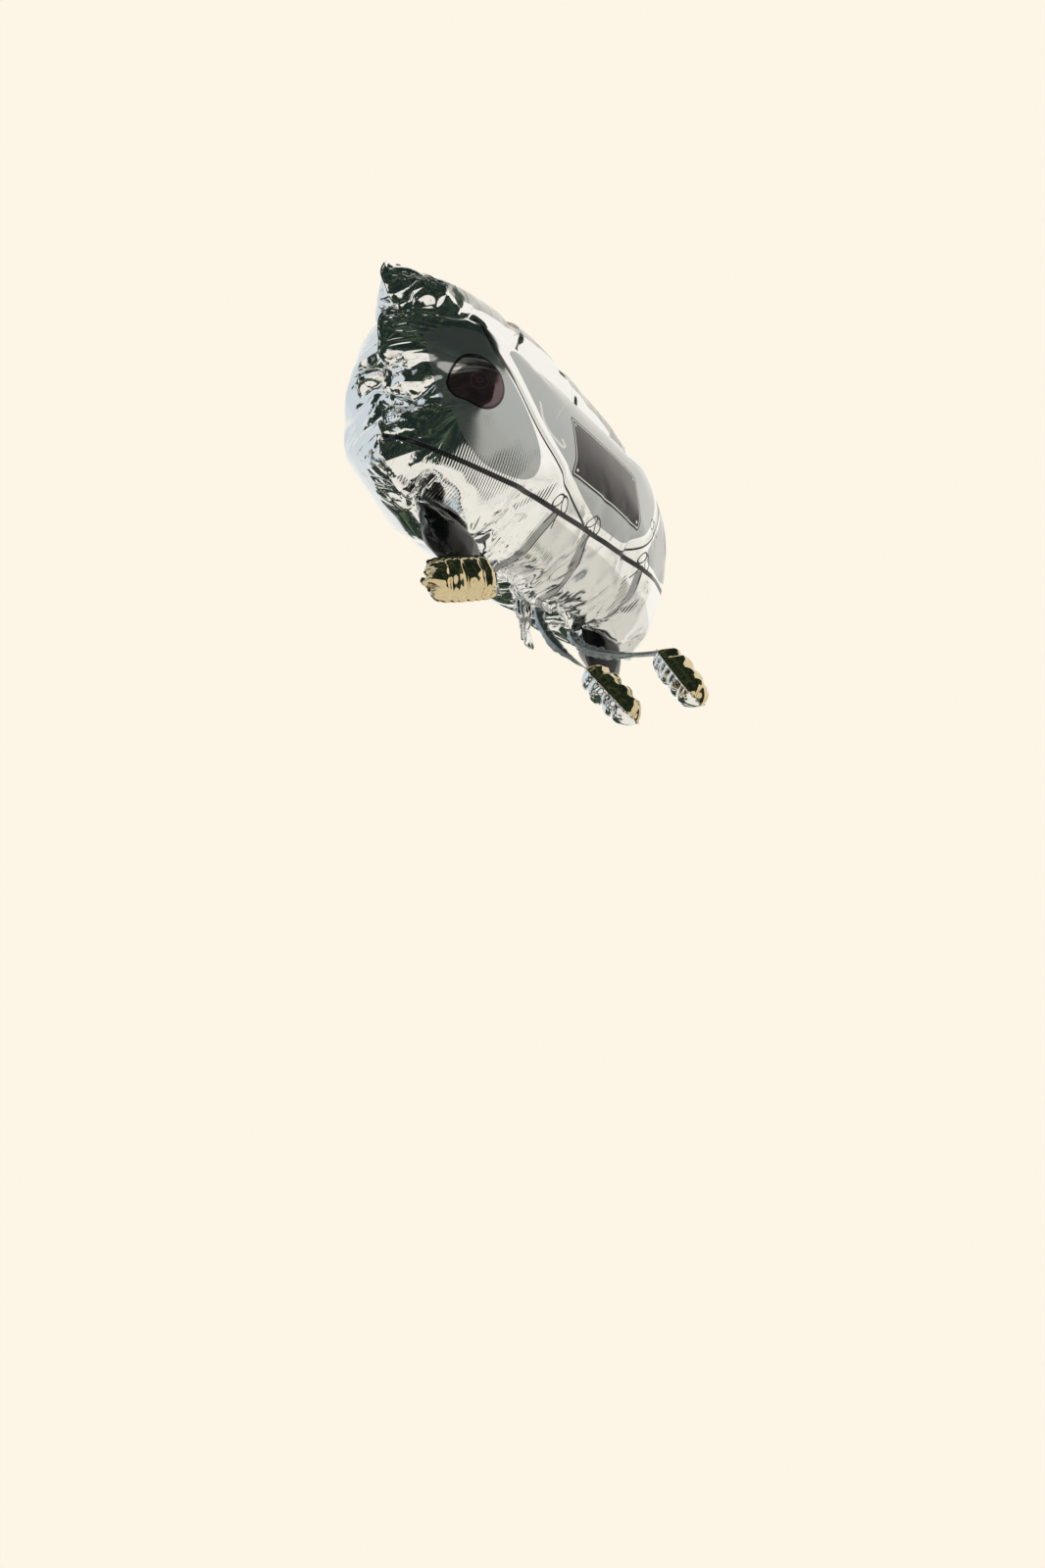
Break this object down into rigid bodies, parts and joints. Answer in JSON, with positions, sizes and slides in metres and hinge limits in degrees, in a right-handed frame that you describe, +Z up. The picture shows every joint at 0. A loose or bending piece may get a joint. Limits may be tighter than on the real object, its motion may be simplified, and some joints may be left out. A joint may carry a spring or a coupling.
{
  "type": "car-shaped foil party balloon",
  "caption": "Foil party balloon in the shape of a car's back, with tyre lobes, a gathered neck and straps that trail tin-can pillows.",
  "frame": {"origin": "the ribbon tie round the end of the neck, below the middle of the bottom seam", "axes": "+X runs to the right as the printed front is seen, +Y to the plain back, +Z up"},
  "size_m": [0.732, 0.3541, 0.6447],
  "materials": {
    "printed_film": "metallised film printed in satin grey",
    "silver_film": "mirror-bright metallised film",
    "tyre_film": "metallised film printed black",
    "gold_film": "mirror-bright gold metallised film",
    "strap_film": "metallised film printed dark grey",
    "ribbon": "white curling ribbon"
  },
  "bodies": {
    "envelope": {"front_panel": "printed_film", "back_panel": "silver_film", "tyre_left": "tyre_film", "tyre_right": "tyre_film", "neck": "silver_film", "ribbon_tie": "ribbon"},
    "left_strap": {"strap_left": "strap_film"},
    "left_can": {"can_left_front": "gold_film", "can_left_back": "silver_film"},
    "centre_strap": {"strap_centre": "strap_film"},
    "centre_can": {"can_centre_front": "gold_film", "can_centre_back": "silver_film"},
    "right_strap": {"strap_right": "strap_film"},
    "right_can": {"can_right_front": "gold_film", "can_right_back": "silver_film"}
  },
  "joints": [
    {"name": "left_strap_swing", "type": "hinge", "parent": "envelope", "child": "left_strap", "pos_m": [-0.08784, 0, 0.0424], "axis": [0.9991, 0, -0.0429], "range_deg": [-35, 60]},
    {"name": "left_can_bend", "type": "hinge", "parent": "left_strap", "child": "left_can", "pos_m": [-0.22054, -0.08094, -0.04841], "axis": [0.285, -0.0313, -0.958], "range_deg": [-20, 15]},
    {"name": "centre_strap_swing", "type": "hinge", "parent": "envelope", "child": "centre_strap", "pos_m": [0.045, 0, 0.041], "axis": [0.9998, 0, 0.022], "range_deg": [-35, 70]},
    {"name": "centre_can_bend", "type": "hinge", "parent": "centre_strap", "child": "centre_can", "pos_m": [0.06588, -0.0602, -0.06768], "axis": [0.9715, 0.1878, 0.1446], "range_deg": [-30, 40]},
    {"name": "right_strap_swing", "type": "hinge", "parent": "envelope", "child": "right_strap", "pos_m": [0.14796, 0, 0.04586], "axis": [0.9974, 0, 0.0722], "range_deg": [-15, 95]},
    {"name": "right_can_bend", "type": "hinge", "parent": "right_strap", "child": "right_can", "pos_m": [0.15311, -0.13971, -0.03207], "axis": [0.9998, 0.0111, -0.0155], "range_deg": [-30, 40]}
  ]
}
